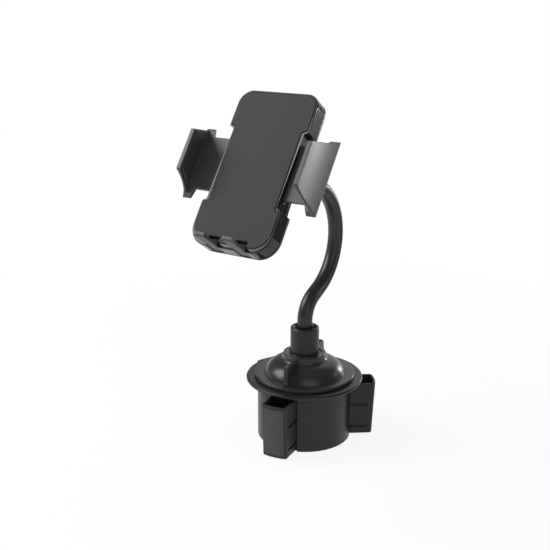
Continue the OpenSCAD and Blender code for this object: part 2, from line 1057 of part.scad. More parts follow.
module jaw_pad() {
    intersection() {
        along(jaw_half)
            polygon([
                [jaw_inner(gap), gap],
                [jaw_inner(jaw_pad_end), jaw_pad_end],
                [jaw_inner(jaw_pad_slope) - jaw_pad_t, jaw_pad_slope],
                [jaw_inner(gap) - jaw_pad_t, gap]
            ]);
        across(lip_in - 5, jaw_u)
            jaw_side(jaw_pad_inset);
    }
}

module jaw_pad_right() {
    color("#3a3a3c")
    in_cradle()
        jaw_pad();
}

module jaw_pad_left() {
    color("#3a3a3c")
    in_cradle()
        rotate([0, 180, 0])
            jaw_pad();
}

// Involute tooth form: angle and radius along one flank
base_circle = pitch_r * cos(pressure);
root_r = pitch_r - tooth_ded;
tip_r = pitch_r + tooth_add;
function roll(r) = r <= base_circle ? 0 : sqrt(r * r / (base_circle * base_circle) - 1) * 180 / PI;
function inv(r) = let (t = roll(r)) t - atan(t * PI / 180);
tooth_half = 90 / teeth - backlash / 2 / pitch_r * 180 / PI;
function flank(r) = tooth_half + inv(pitch_r) - inv(r);
flank_steps = 5;
flank_radii = [for (i = [0 : flank_steps]) root_r + (tip_r - root_r) * i / flank_steps];

module pinion_outline() {
    polygon([for (k = [0 : teeth - 1])
        for (p = concat(
            [for (r = flank_radii) [r, -flank(r)]],
            [for (i = [flank_steps : -1 : 0]) [flank_radii[i], flank(flank_radii[i])]]))
            let (a = 90 + (k + 0.5) * 360 / teeth + p[1]) p[0] * [cos(a), sin(a)]]);
}

module pinion() {
    color("#d9d6cc")
    in_cradle()
        difference() {
            union() {
                layer(pinion_n0, pinion_n1)
                    pinion_outline();
                layer(pinion_n1 - lap, arm_n1 - 0.3)
                    circle(2.4);
            }
            layer(pinion_n0 - 1, arm_n1 + 2)
                circle(axle_r + run);
        }
}

module pinion_axle() {
    color("#9a9da1")
    in_cradle()
        layer(-11.6, face_n + 0.8)
            circle(axle_r);
}

// Flat spiral spring that opens the arms
spring_turns = 3;
spring_t = 0.4;
spring_steps = 90;
function spring_r(i) = 2.75 + (5.3 - 2.75) * i / spring_steps;
function spring_turn(i) = 35 + 360 * spring_turns * (i / spring_steps - 1);
function spring_at(i, side) = (spring_r(i) + side) * [cos(spring_turn(i)), sin(spring_turn(i))];

module arm_spring() {
    color("#a6a9ad")
    in_cradle()
        layer(arm_n0 + 0.2, arm_n1 - 0.4)
            polygon(concat(
                [for (i = [0 : spring_steps]) spring_at(i, spring_t / 2)],
                [for (i = [spring_steps : -1 : 0]) spring_at(i, -spring_t / 2)]));
}

module release_button() {
    finger_v = -pitch_r - tooth_ded - bar_h - gap;
    color("#2b2b2d")
    in_cradle() {
        layer(back_n - button_out, -9.2)
            translate([0, button_v])
                circle(button_r);
        layer(shell_n + gap, -8.8)
            translate([0, button_v])
                circle(button_r + 1.5);
        layer(shell_n + 0.4, -8.8)
            translate([-3, button_v + 3])
                square([6, finger_v - button_v - 3]);
        layer(-9, -6.6)
            translate([0, button_v])
                circle(1.6);
    }
}

// A wound wire, drawn as a tube that follows a screw line
module coil(mid_r, wire_r, height, turns) {
    sides = 8;
    steps = turns * 20;
    pitch = (height - 2 * wire_r) / steps;
    points = [for (i = [0 : steps])
        for (k = [0 : sides - 1])
            let (a = i * 18, r = mid_r + wire_r * cos(k * 45))
                [r * cos(a), r * sin(a), wire_r + i * pitch + wire_r * sin(k * 45)]];
    side_faces = [for (i = [0 : steps - 1])
        for (k = [0 : sides - 1])
            let (k2 = (k + 1) % sides)
                [i * sides + k, (i + 1) * sides + k, (i + 1) * sides + k2, i * sides + k2]];
    polyhedron(points, concat(side_faces,
        [[for (k = [0 : sides - 1]) k]],
        [[for (k = [sides - 1 : -1 : 0]) steps * sides + k]]), convexity = 6);
}

module button_spring() {
    color("#a6a9ad")
    in_cradle()
        translate([0, 8.8, button_v])
            rotate([90, 0, 0])
                coil(2.6, 0.35, 8.8 + face_n, 4);
}

module hook_foot() {
    heel = shell_n + 0.4;
    color("#1c1c1e")
    in_cradle() {
        for (s = [-1, 1])
            across(s * hook_u - hook_w / 2, s * hook_u + hook_w / 2) {
                difference() {
                    polygon([
                        [heel, hook_low],
                        [hook_reach - hook_nose, hook_low],
                        [hook_reach, hook_low + hook_nose],
                        [hook_reach, hook_low + hook_root],
                        [heel, hook_low + hook_root]
                    ]);
                    translate([ramp_n, hook_low + hook_t + ramp_r])
                        circle(ramp_r, $fn = 160);
                }
                translate([leg_n[0], hook_low + hook_root - 1])
                    square([leg_n[1] - leg_n[0], hook_leg - hook_root + 1]);
            }
        layer(leg_n[0], leg_n[1])
            translate([-hook_u, hook_low + hook_leg - 4])
                square([2 * hook_u, 4]);
    }
}

base_housing();
base_cover();
cover_screws();
centre_post();
scroll_disc();
scroll_screws();
knob();
fin_front();
fin_right();
fin_left();
fin_pad_front();
fin_pad_right();
fin_pad_left();
fin_pin_front();
fin_pin_right();
fin_pin_left();
neck_ferrule();
neck_sleeve();
neck_core_low();
neck_core_mid();
neck_core_top();
neck_cap();
ball_stud();
ball_liner();
lock_nut();
cradle_front();
cradle_back();
back_screws();
phone_pad();
arm_right();
arm_left();
jaw_pad_right();
jaw_pad_left();
pinion();
pinion_axle();
arm_spring();
release_button();
button_spring();
hook_foot();
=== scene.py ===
# %% [markdown]
# # A phone mount for a car's cup holder
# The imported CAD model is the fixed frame: it holds every piece at its real size and place, and its
# bodies carry the motion. This lesson dresses it for a studio picture. Rigid pieces keep their CAD
# form and get the small rounded edges that moulding leaves, the gooseneck's sleeve is swept along its
# path, screws are instanced, and each finish is a small procedural material.

# %% Load the frame and keep its box
import json
import math
import bmesh
import bpy
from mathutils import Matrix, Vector
from mathutils.bvhtree import BVHTree
from mathutils.kdtree import KDTree


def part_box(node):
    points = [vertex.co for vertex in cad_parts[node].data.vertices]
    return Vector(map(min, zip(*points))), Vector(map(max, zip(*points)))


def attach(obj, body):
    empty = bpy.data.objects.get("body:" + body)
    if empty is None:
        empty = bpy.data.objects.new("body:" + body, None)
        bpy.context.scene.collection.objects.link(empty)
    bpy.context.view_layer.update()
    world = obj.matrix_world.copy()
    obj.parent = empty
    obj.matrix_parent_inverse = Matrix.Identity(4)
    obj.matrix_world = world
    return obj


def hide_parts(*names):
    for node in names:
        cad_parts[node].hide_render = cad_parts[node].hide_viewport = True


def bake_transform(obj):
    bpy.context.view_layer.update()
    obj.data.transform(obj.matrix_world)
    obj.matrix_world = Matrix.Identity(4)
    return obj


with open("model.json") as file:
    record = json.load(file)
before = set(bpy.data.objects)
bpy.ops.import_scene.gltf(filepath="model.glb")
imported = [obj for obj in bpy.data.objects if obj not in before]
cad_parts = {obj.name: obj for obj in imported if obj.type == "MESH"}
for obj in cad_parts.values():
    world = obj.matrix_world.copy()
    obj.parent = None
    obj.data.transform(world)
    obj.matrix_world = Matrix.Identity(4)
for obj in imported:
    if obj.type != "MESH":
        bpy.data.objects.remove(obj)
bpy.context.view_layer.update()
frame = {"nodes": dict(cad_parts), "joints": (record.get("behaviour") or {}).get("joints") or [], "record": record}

MM = 0.001

# %% [markdown]
# ## Camera
# The photograph looks down on the mount from the front right. A camera could be placed by eye, but one
# fitted to the outlines of the base, the neck and the cradle shows every piece where the picture has
# it. The frame is square, so the lens follows from the focal length in pixels over the picture's
# width, on Blender's own sensor.

# %% Camera
PICTURE = 550
FOCAL_PX = 940.4
CAMERA_AT = Vector((0.3281, -0.5219, 0.3068))
CAMERA_AIM = Vector((-0.01721, -0.01165, 0.11758))
CLIP_START = 0.01


def aim(obj, at, target):
    obj.location = at
    obj.rotation_euler = (Vector(target) - Vector(at)).to_track_quat("-Z", "Y").to_euler()


camera_data = bpy.data.cameras.new("photo_camera")
camera_data.sensor_fit = "HORIZONTAL"
camera_data.lens = FOCAL_PX / PICTURE * camera_data.sensor_width
camera_data.clip_start = CLIP_START
camera = bpy.data.objects.new("photo_camera", camera_data)
bpy.context.collection.objects.link(camera)
aim(camera, CAMERA_AT, CAMERA_AIM)
bpy.context.scene.camera = camera
bpy.context.scene.view_settings.view_transform = "Standard"
print("lens", round(camera_data.lens, 2), "mm")

# %% [markdown]
# ## Writing node trees as sums
# A node tree is easier to read as a formula than as a list of links. Wire wraps one socket, so that
# sums on it add Math nodes, and Graph.node adds any other node: its settings first, then the values or
# wires of its sockets. The same two classes serve materials, the world and Geometry Nodes.

# %% A wire that can stand in a sum


class Wire:
    """A socket of a node tree that can stand in a sum."""

    def __init__(self, graph, socket):
        self.graph = graph
        self.socket = socket

    def math(self, operation, first, second):
        return self.graph.node("ShaderNodeMath", {"operation": operation}, {0: first, 1: second})

    def __add__(self, other):
        return self.math("ADD", self, other)

    __radd__ = __add__

    def __sub__(self, other):
        return self.math("SUBTRACT", self, other)

    def __rsub__(self, other):
        return self.math("SUBTRACT", other, self)

    def __mul__(self, other):
        return self.math("MULTIPLY", self, other)

    __rmul__ = __mul__

    def most(self, other):
        return self.math("MAXIMUM", self, other)


# %% A graph that adds nodes


class Graph:
    """A node tree, with one method that adds any node."""

    def __init__(self, tree):
        self.tree = tree
        tree.nodes.clear()

    def node(self, kind, settings=None, sockets=None, output=0):
        made = self.tree.nodes.new(kind)
        for key, value in (settings or {}).items():
            setattr(made, key, value)
        for key, value in (sockets or {}).items():
            socket = made.inputs[key]
            if isinstance(value, Wire):
                self.tree.links.new(value.socket, socket)
            else:
                socket.default_value = value
        return Wire(self, made.outputs[output]) if made.outputs else None

    def place(self):
        return self.node("ShaderNodeTexCoord", output="Object")

    def noise(self, scale, detail):
        return self.node("ShaderNodeTexNoise", {},
                         {"Vector": self.place(), "Scale": scale, "Detail": detail})

    def tint(self, factor, dark, light):
        return self.node("ShaderNodeMix", {"data_type": "RGBA"},
                         {0: factor, 6: (*dark, 1), 7: (*light, 1)}, output=2)

    def bump(self, height, distance):
        return self.node("ShaderNodeBump", {},
                         {"Height": height, "Distance": distance, "Strength": 1.0})

    def seen(self):
        """1 for what the camera sees, directly, in a reflection or through glass."""
        kinds = ("Is Camera Ray", "Is Glossy Ray", "Is Transmission Ray")
        direct, mirrored, through = [self.node("ShaderNodeLightPath", output=kind) for kind in kinds]
        return direct.most(mirrored).most(through)


def material_graph(name):
    material = bpy.data.materials.new(name)
    material.use_nodes = True
    return material, Graph(material.node_tree)


# %% [markdown]
# ## Plastic and rubber
# Nearly all of the mount is black plastic, so the finishes differ in grain and gloss: the base is
# satin, the knob semi-gloss, the cradle's front shell polished and its rear cover satin, the pads matt
# rubber. A picture could carry the grain, but noise on Object coordinates needs no unwrapping and has
# no seams. Each finish has a fine grain as a bump, and a slow drift in roughness and colour, as
# moulded surfaces have. Black plastic mirrors less than the shader's usual level, so that level is
# lowered on its socket.

# %% Plastic and rubber
DRIFT_SCALE, DRIFT_DETAIL, GRAIN_DETAIL = 55.0, 3.0, 2.0
DRIFT_IN_COLOUR, GRAIN_IN_COLOUR = 0.6, 0.4


def grey(value):
    return (value, value, value)


def moulded(name, dark, light, rough, drift, grain_scale, grain_depth, specular):
    """A moulded surface: a fine grain, with colour and roughness that drift slowly."""
    material, g = material_graph(name)
    slow = g.noise(DRIFT_SCALE, DRIFT_DETAIL)
    fine = g.noise(grain_scale, GRAIN_DETAIL)
    shade = slow * DRIFT_IN_COLOUR + fine * GRAIN_IN_COLOUR
    shader = g.node("ShaderNodeBsdfPrincipled", {}, {
        "Base Color": g.tint(shade, grey(dark), grey(light)),
        "Roughness": (rough - drift / 2) + slow * drift,
        "Normal": g.bump(fine, grain_depth),
        "Specular IOR Level": specular,
    })
    g.node("ShaderNodeOutputMaterial", {}, {"Surface": shader})
    return material


# dark and light grey, roughness and its drift, grain scale, grain depth in metres, specular level
plastics = {
    "body_satin": (0.010, 0.016, 0.36, 0.08, 2600, 0.00001, 0.34),
    "knob_semi_gloss": (0.018, 0.027, 0.30, 0.06, 1800, 0.000005, 0.36),
    "inner_plain": (0.030, 0.040, 0.5, 0.08, 2000, 0.00003, 0.35),
    "fin_grained": (0.016, 0.025, 0.46, 0.08, 2200, 0.000015, 0.28),
    "fin_facing": (0.040, 0.055, 0.52, 0.08, 1700, 0.00002, 0.4),
    "ferrule_satin": (0.013, 0.021, 0.40, 0.06, 2600, 0.000008, 0.30),
    "sleeve_smooth": (0.012, 0.018, 0.36, 0.08, 900, 0.0000015, 0.40),
    "shell_polished": (0.009, 0.013, 0.13, 0.04, 1200, 0.0000002, 0.3),
    "back_satin": (0.012, 0.019, 0.32, 0.06, 2600, 0.000004, 0.34),
    "clamp_satin": (0.052, 0.066, 0.52, 0.06, 2400, 0.000004, 0.5),
    "pad_rubber": (0.035, 0.046, 0.72, 0.08, 1500, 0.00003, 0.3),
    "jaw_rubber": (0.034, 0.046, 0.6, 0.08, 1500, 0.00002, 0.35),
    "acetal": (0.62, 0.72, 0.45, 0.06, 900, 0.00001, 0.5),
}
finishes = {name: moulded(name, *values) for name, values in plastics.items()}
print(len(finishes), "plastics and rubbers")

# %% [markdown]
# ## Metals
# The screws, the neck's core, the ball and the springs are steel. Drawn or turned steel has fine
# streaks along one way. An anisotropic shader would show them too, but the export would drop it, so a
# noise is stretched with a Mapping node and feeds colour, roughness and bump.

# %% Metals
STREAK_ALONG, STREAK_DETAIL, STREAK_DEPTH = 60.0, 3.0, 0.000008
STREAK_SHADE, STREAK_ROUGH = 0.85, 0.12


def metal(name, tone, rough, streaks):
    """Plain metal with fine streaks along one way, from drawing or turning."""
    material, g = material_graph(name)
    stretched = g.node("ShaderNodeMapping", {},
                       {"Vector": g.place(), "Scale": (streaks, streaks, STREAK_ALONG)})
    lines = g.node("ShaderNodeTexNoise", {},
                   {"Vector": stretched, "Scale": 1.0, "Detail": STREAK_DETAIL})
    shader = g.node("ShaderNodeBsdfPrincipled", {}, {
        "Base Color": g.tint(lines, grey(tone * STREAK_SHADE), grey(tone)),
        "Metallic": 1.0,
        "Roughness": (rough - STREAK_ROUGH / 2) + lines * STREAK_ROUGH,
        "Normal": g.bump(lines, STREAK_DEPTH),
    })
    g.node("ShaderNodeOutputMaterial", {}, {"Surface": shader})
    return material


# tone, roughness, streaks per metre
metals = {
    "plated_steel": (0.58, 0.3, 1800.0),
    "black_steel": (0.09, 0.34, 1800.0),
    "bright_core": (0.62, 0.36, 1200.0),
}
finishes.update({name: metal(name, *values) for name, values in metals.items()})
print(len(metals), "metals")

# %% [markdown]
# ## Pieces that stand for CAD nodes
# A new piece takes the place of its node, rides on the same body and gets a finish of its own. A piece could keep
# its modifiers, but the export and the joints want plain meshes at the origin, so what the modifiers give is
# baked into the mesh first.

# %% Objects, and their modifiers baked
SMOOTH_BELOW = 40.0


def new_object(name, mesh):
    obj = bpy.data.objects.new(name, mesh)
    bpy.context.collection.objects.link(obj)
    return obj


def bake(obj):
    """Puts the result of the modifiers into the mesh."""
    bpy.context.view_layer.update()
    evaluated = obj.evaluated_get(bpy.context.evaluated_depsgraph_get())
    mesh = bpy.data.meshes.new_from_object(evaluated)
    obj.modifiers.clear()
    old = obj.data
    obj.data = mesh
    mesh.name = obj.name
    bpy.data.meshes.remove(old)
    return obj


def smooth(obj, angle=SMOOTH_BELOW):
    """Smooth shading that keeps edges sharper than the angle, with large faces kept flat."""
    for face in obj.data.polygons:
        face.use_smooth = True
    obj.data.set_sharp_from_angle(angle=math.radians(angle))
    normals = obj.modifiers.new("shade", "WEIGHTED_NORMAL")
    normals.keep_sharp = True
    return bake(obj)


# %% Stand-ins for nodes
bodies = frame["record"]["behaviour"]["bodies"]
body_of_node = {node: body for body, nodes in bodies.items() for node in nodes}


def dress(obj, finish):
    obj.data.materials.clear()
    obj.data.materials.append(finishes[finish])


def stand_in(obj, node, finish):
    dress(obj, finish)
    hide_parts(node)
    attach(obj, body_of_node[node])
    return obj


# %% [markdown]
# ## Softened copies of the CAD pieces
# CAD gives sharp edges, but a mould leaves a small radius that catches the light, and without it black
# plastic looks like paper. A shader can fake the round, but the export would lose it, so it is real:
# a copy of each visible node is merged, its flat faces are joined, and a Bevel rounds what is sharper
# than a set angle. Blender's own clamp would shrink every round to what the tightest corner allows.
# Here the sharp edges are sorted into runs that go on smoothly, and each run gets one weight from the
# room beside it. Where a round still folds over or leaves the CAD surface, the runs near that spot get
# less, and the Bevel is tried again.

# %% Merge the triangles of a node
MERGE = 1e-6
FLAT, PAIR_BEND, PAIR_SHAPE = (math.radians(angle) for angle in (0.4, 12, 80))


def merged(mesh):
    """The CAD's loose triangles as one skin, with flat faces joined and triangles paired."""
    bm = bmesh.new()
    bm.from_mesh(mesh)
    bmesh.ops.remove_doubles(bm, verts=bm.verts, dist=MERGE)
    bmesh.ops.dissolve_degenerate(bm, dist=MERGE, edges=bm.edges)
    bmesh.ops.dissolve_limit(bm, angle_limit=FLAT, verts=bm.verts, edges=bm.edges)
    triangles = [f for f in bm.faces if len(f.verts) == 3]
    bmesh.ops.join_triangles(bm, faces=triangles, angle_face_threshold=PAIR_BEND,
                             angle_shape_threshold=PAIR_SHAPE)
    return bm


# %% Sort sharp edges into runs, and find the room beside them
SHARP = math.radians(30)
ON_COURSE = -0.8
ROOM_SHARE, TIGHT_TWELFTH = 0.45, 12
AMPLE = 1.0


def sharp_edges(bm):
    return dict.fromkeys(e for e in bm.edges
                         if len(e.link_faces) == 2 and e.calc_face_angle(0) > SHARP)


def smooth_runs(sharp):
    """Sorts sharp edges into runs that go on smoothly, such as the rim of a disc."""
    left, runs = set(sharp), []
    for first in sharp:
        if first not in left:
            continue
        left.remove(first)
        run = [first]
        for edge in run:
            for vert in edge.verts:
                ends = [e for e in vert.link_edges if e in sharp and e is not edge]
                if len(ends) == 1 and ends[0] in left:
                    ways = [(e.other_vert(vert).co - vert.co).normalized() for e in (edge, ends[0])]
                    if ways[0].dot(ways[1]) < ON_COURSE:
                        left.remove(ends[0])
                        run.append(ends[0])
        runs.append(run)
    return runs


def room_beside(edge, sharp):
    """The shortest edge that a round along this edge would have to run over."""
    lengths = [AMPLE]
    for vert in edge.verts:
        ends = [e for e in vert.link_edges if e in sharp]
        lengths += [e.calc_length() for e in vert.link_edges if e not in sharp or len(ends) != 2]
    return min(lengths)


def first_share(run, sharp, radius):
    """How much of the radius a run has room for, leaving its few tightest places out."""
    rooms = sorted(room_beside(e, sharp) for e in run)
    return min(1.0, ROOM_SHARE * rooms[len(rooms) // TIGHT_TWELFTH] / radius)


# %% Find faults of a bevel, and lower the runs near them
FOLDED = math.radians(120)
STRAY_SHARE = 0.42
REACH_SHARE, REACH_MORE = 1.3, 0.1 * MM
LOWER, LEAST_SHARE = 0.6, 0.2


def faults(obj, surface, radius):
    """Where a bevelled mesh is folded, or leaves the CAD surface."""
    bm = bmesh.new()
    bm.from_mesh(obj.evaluated_get(bpy.context.evaluated_depsgraph_get()).data)
    found = [e.verts[0].co.copy() for e in bm.edges
             if len(e.link_faces) == 2 and e.calc_face_angle(0) > FOLDED]
    found += [v.co.copy() for v in bm.verts
              if surface.find_nearest(v.co)[3] > STRAY_SHARE * radius]
    bm.free()
    return found


def lowered(runs, shares, spots, radius):
    """The runs' shares, made smaller where a run comes near a faulty spot."""
    tree = KDTree(len(spots))
    for k, spot in enumerate(spots):
        tree.insert(spot, k)
    tree.balance()
    after = []
    for run, share in zip(runs, shares):
        reach = REACH_SHARE * radius * share + REACH_MORE
        marks = [p for e in run for p in (e.verts[0].co, (e.verts[0].co + e.verts[1].co) / 2)]
        if share and any(tree.find(mark)[2] < reach for mark in marks):
            share = share * LOWER if share > LEAST_SHARE else 0.0
        after.append(share)
    return after


# %% Soften one piece
BEVEL_STEPS, MOST_ROUNDS = 3, 9


def softened(node, finish, radius, reshape=None):
    """A copy of a node with rounded edges; reshape may change the merged mesh first."""
    radius *= MM
    mesh = frame["nodes"][node].data.copy()
    bm = merged(mesh)
    if reshape:
        reshape(bm)
    surface = BVHTree.FromBMesh(bm)
    weight = bm.edges.layers.float.new("bevel_weight_edge")
    sharp = sharp_edges(bm)
    runs = smooth_runs(sharp)
    shares = [first_share(run, sharp, radius) for run in runs]
    obj = new_object(node + "_shell", mesh)
    bevel = obj.modifiers.new("edge", "BEVEL")
    bevel.width = radius
    bevel.segments = BEVEL_STEPS
    bevel.limit_method = "WEIGHT"
    bevel.use_clamp_overlap = False
    for attempt in range(MOST_ROUNDS):
        for run, share in zip(runs, shares):
            for edge in run:
                edge[weight] = share
        bm.to_mesh(mesh)
        bpy.context.view_layer.update()
        spots = faults(obj, surface, radius)
        if not spots:
            break
        shares = lowered(runs, shares, spots, radius)
    bm.free()
    bake(obj)
    print(obj.name, len(obj.data.polygons), "faces after", attempt + 1, "rounds;",
          len(spots), "faults left")
    return stand_in(smooth(obj), node, finish)


# %% [markdown]
# ## Shaping the jaws
# The photograph shows the outer side of each jaw as a deep hollow whose rear edge turns outwards. The
# CAD piece holds the jaw's place and thickness, with a shallower hollow. A lattice could bend it, but
# a rule is exact: the outer side is cut into strips along its depth, each strip is moved in or out
# along a parabola, and its ends follow a slanted outline with a small ear at the rear.

# %% The cradle's own directions
CRADLE_AT = Vector((0, -59.738, 201.936))
CRADLE_N = Vector((0, -0.82214, 0.56928))
CRADLE_V = Vector((0, 0.56928, 0.82214))
CRADLE_U = Vector((1, 0, 0))


def in_cradle(u, v, n):
    """A point in mm from steps to the right, up along the cradle and out of its face."""
    return CRADLE_AT + CRADLE_U * u + CRADLE_V * v + CRADLE_N * n


print("cradle's middle at", [round(c, 1) for c in in_cradle(0, 0, 0)], "mm")

# %% The jaw's hollow
JAW_FROM, JAW_BACK, JAW_FRONT, JAW_STRIPS = 41, -6.4, 15.5, 18
CUT_NEAR, OUTLINE_NEAR = 1e-7, 0.8
LIP_OUT, HOLLOW_SLOPE, HOLLOW_BEND = 44.7, -2.2, 7.4
JAW_MIDDLE = (46.6, 43.3)
CAD_HALF = [(-6.4, 23.6), (-3.6, 23.6), (-1.4, 21.4), (15.5, 13.8)]
LIP_HALF, HALF_SLOPE, EAR_FROM, EAR_RISE = 13.8, 9.2, 0.7, 1.6


def cad_half(n):
    """Half the height of the CAD jaw at a depth."""
    for (n0, h0), (n1, h1) in zip(CAD_HALF, CAD_HALF[1:]):
        if n <= n1:
            return h0 + (h1 - h0) * (n - n0) / (n1 - n0)
    return CAD_HALF[-1][1]


def cut_strips(bm):
    for k in range(1, JAW_STRIPS):
        n = JAW_BACK + (JAW_FRONT - JAW_BACK) * k / JAW_STRIPS
        faces = [f for f in bm.faces if abs(f.calc_center_median().x) > JAW_FROM * MM]
        parts = list(dict.fromkeys(g for f in faces for g in (*f.verts, *f.edges, f)))
        bmesh.ops.bisect_plane(bm, geom=parts, dist=CUT_NEAR, plane_co=in_cradle(0, 0, n) * MM,
                               plane_no=CRADLE_N)


def hollow_jaw(bm):
    """Moves an arm's outer side to the hollow, and the jaw's ends to their outline."""
    cut_strips(bm)
    for vert in bm.verts:
        away = vert.co / MM - CRADLE_AT
        u, v, n = (away.dot(axis) for axis in (CRADLE_U, CRADLE_V, CRADLE_N))
        t = (JAW_FRONT - n) / (JAW_FRONT - JAW_BACK)
        if abs(u) > JAW_FROM and abs(abs(v) - cad_half(n)) < OUTLINE_NEAR:
            ear = EAR_RISE * max(0.0, (t - EAR_FROM) / (1 - EAR_FROM)) ** 2
            half = LIP_HALF + HALF_SLOPE * t + ear
            vert.co += CRADLE_V * (math.copysign(half, v) - v) * MM
        if abs(u) > JAW_MIDDLE[1] + (JAW_MIDDLE[0] - JAW_MIDDLE[1]) * t:
            out = LIP_OUT + HOLLOW_SLOPE * t + HOLLOW_BEND * t * t
            vert.co += CRADLE_U * (math.copysign(out, u) - u) * MM


# %% [markdown]
# ## Rounding all visible pieces
# Each moulded piece gets a radius in mm that suits it: thin edges about a third of a millimetre, the
# cradle's rim and rear cover more. One list keeps them side by side, with the finish of each.

# %% Softened pieces
softened_list = [
    ("base_housing", "body_satin", 0.4),
    ("base_cover", "body_satin", 0.3),
    ("knob", "knob_semi_gloss", 0.4),
    ("fin_front", "fin_grained", 0.5),
    ("fin_right", "fin_grained", 0.5),
    ("fin_left", "fin_grained", 0.5),
    ("fin_pad_front", "fin_facing", 0.4),
    ("fin_pad_right", "fin_facing", 0.4),
    ("fin_pad_left", "fin_facing", 0.4),
    ("neck_ferrule", "ferrule_satin", 0.35),
    ("neck_cap", "ferrule_satin", 0.35),
    ("lock_nut", "ferrule_satin", 0.35),
    ("cradle_front", "shell_polished", 0.7),
    ("cradle_back", "back_satin", 1.0),
    ("phone_pad", "pad_rubber", 0.3),
    ("arm_right", "clamp_satin", 0.45, hollow_jaw),
    ("arm_left", "clamp_satin", 0.45, hollow_jaw),
    ("jaw_pad_right", "jaw_rubber", 0.5),
    ("jaw_pad_left", "jaw_rubber", 0.5),
    ("hook_foot", "clamp_satin", 0.45),
    ("release_button", "inner_plain", 0.4),
]
for row in softened_list:
    softened(*row)

# %% [markdown]
# ## Inner pieces
# The scroll disc, the pins, the neck's core, the ball and the arms' gear work inside, and little of
# them shows. They could be rounded as well, but their CAD form is enough, so they only get a finish.

# %% Inner pieces
inner = {
    "bright_core": ["centre_post", "neck_core_low", "neck_core_mid", "neck_core_top"],
    "plated_steel": ["scroll_screws", "fin_pin_front", "fin_pin_right", "fin_pin_left",
                     "pinion_axle", "arm_spring", "ball_stud"],
    "inner_plain": ["scroll_disc"],
    "acetal": ["ball_liner", "pinion"],
}
for finish, nodes in inner.items():
    for node in nodes:
        dress(frame["nodes"][node], finish)
print(sum(map(len, inner.values())), "inner pieces")

# %% [markdown]
# ## Spring behind the release button
# The coil stands between the cradle and the button, and shortens when the button is pressed. Here a copy of its
# CAD mesh takes the node's place, and its length along the press axis is measured.

# %% Button spring
joint_at = {joint["name"]: joint for joint in frame["joints"]}
mesh = frame["nodes"]["button_spring"].data.copy()
bm = bmesh.new()
bm.from_mesh(mesh)
bmesh.ops.remove_doubles(bm, verts=bm.verts, dist=MERGE)
bm.to_mesh(mesh)
bm.free()
coil = smooth(new_object("button_coil", mesh))
press = joint_at["button_press"]
press_axis = Vector(press["axis"]).normalized()
centre = sum((v.co for v in coil.data.vertices), Vector()) / len(coil.data.vertices)
along = [(v.co - centre).dot(press_axis) for v in coil.data.vertices]
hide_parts("button_spring")
tuple(centre + press_axis * max(along))
tuple(centre + press_axis * min(along))
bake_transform(coil)
dress(coil, "plated_steel")
print("coil", round((max(along) - min(along)) / MM, 2), "mm long")

# %% [markdown]
# ## Gooseneck sleeve
# The sleeve is a smooth rubber tube along a line of straights and bends. A curve object with a bevel
# depth would do for a still picture, but Geometry Nodes keep its sizes as named inputs: a polyline
# becomes a curve, and a circle is swept along it. The neck bends at two places, and one piece can
# follow only one joint, so the tube is then parted at a ring between them, where it keeps its form.

# %% Geometry tree helpers


def geometry_graph(name, inputs):
    """A Geometry Nodes tree with a mesh in, a mesh out and named inputs."""
    tree = bpy.data.node_groups.new(name, "GeometryNodeTree")
    g = Graph(tree)
    for label, kind in [("Geometry", "NodeSocketGeometry"), *inputs]:
        tree.interface.new_socket(label, in_out="INPUT", socket_type=kind)
    tree.interface.new_socket("Geometry", in_out="OUTPUT", socket_type="NodeSocketGeometry")
    entry = tree.nodes.new("NodeGroupInput")
    return g, {socket.name: Wire(g, socket) for socket in entry.outputs if socket.name}


def end_tree(g, shape, finish):
    """Makes instances real, gives them a finish and hands the mesh on."""
    solid = g.node("GeometryNodeRealizeInstances", {}, {"Geometry": shape})
    dressed = g.node("GeometryNodeSetMaterial", {}, {"Geometry": solid, "Material": finish})
    g.node("NodeGroupOutput", {}, {"Geometry": dressed})
    return g.tree


def run_tree(obj, tree, values):
    modifier = obj.modifiers.new(tree.name, "NODES")
    modifier.node_group = tree
    for item in tree.interface.items_tree:
        if item.in_out == "INPUT" and item.name in values:
            modifier[item.identifier] = values[item.name]
    return bake(obj)


def points_object(name, points, joined=False):
    mesh = bpy.data.meshes.new(name)
    edges = [(i, i + 1) for i in range(len(points) - 1)] if joined else []
    mesh.from_pydata([Vector(p) * MM for p in points], edges, [])
    return new_object(name, mesh)


# %% Middle line of the neck
NECK_START = (0.0, 70.7)
NECK_MOVES = [(13.3, 0.0), (18.0, -64.0), (8.0, 0.0), (40.0, 136.0), (26.0, 0.0)]
NECK_STEP, UPRIGHT = 1.2, 90.0


def walk(start, moves, step):
    """Points and headings along straights (length, 0) and bends (radius, turn in degrees)."""
    (y, z), heading = start, UPRIGHT
    points, headings = [(0.0, y, z)], [heading]
    for size, turn in moves:
        length = abs(math.radians(turn)) * size if turn else size
        count = math.ceil(length / step)
        half_turn = math.radians(abs(turn)) / count / 2
        chord = 2 * size * math.sin(half_turn) if turn else length / count
        for _ in range(count):
            heading += turn / count / 2
            y += chord * math.cos(math.radians(heading))
            z += chord * math.sin(math.radians(heading))
            heading += turn / count / 2
            points.append((0.0, y, z))
            headings.append(heading)
    return points, headings


neck_points, neck_headings = walk(NECK_START, NECK_MOVES, NECK_STEP)
print("neck ends at", [round(v, 2) for v in neck_points[-1]], "mm after", len(neck_points), "points")

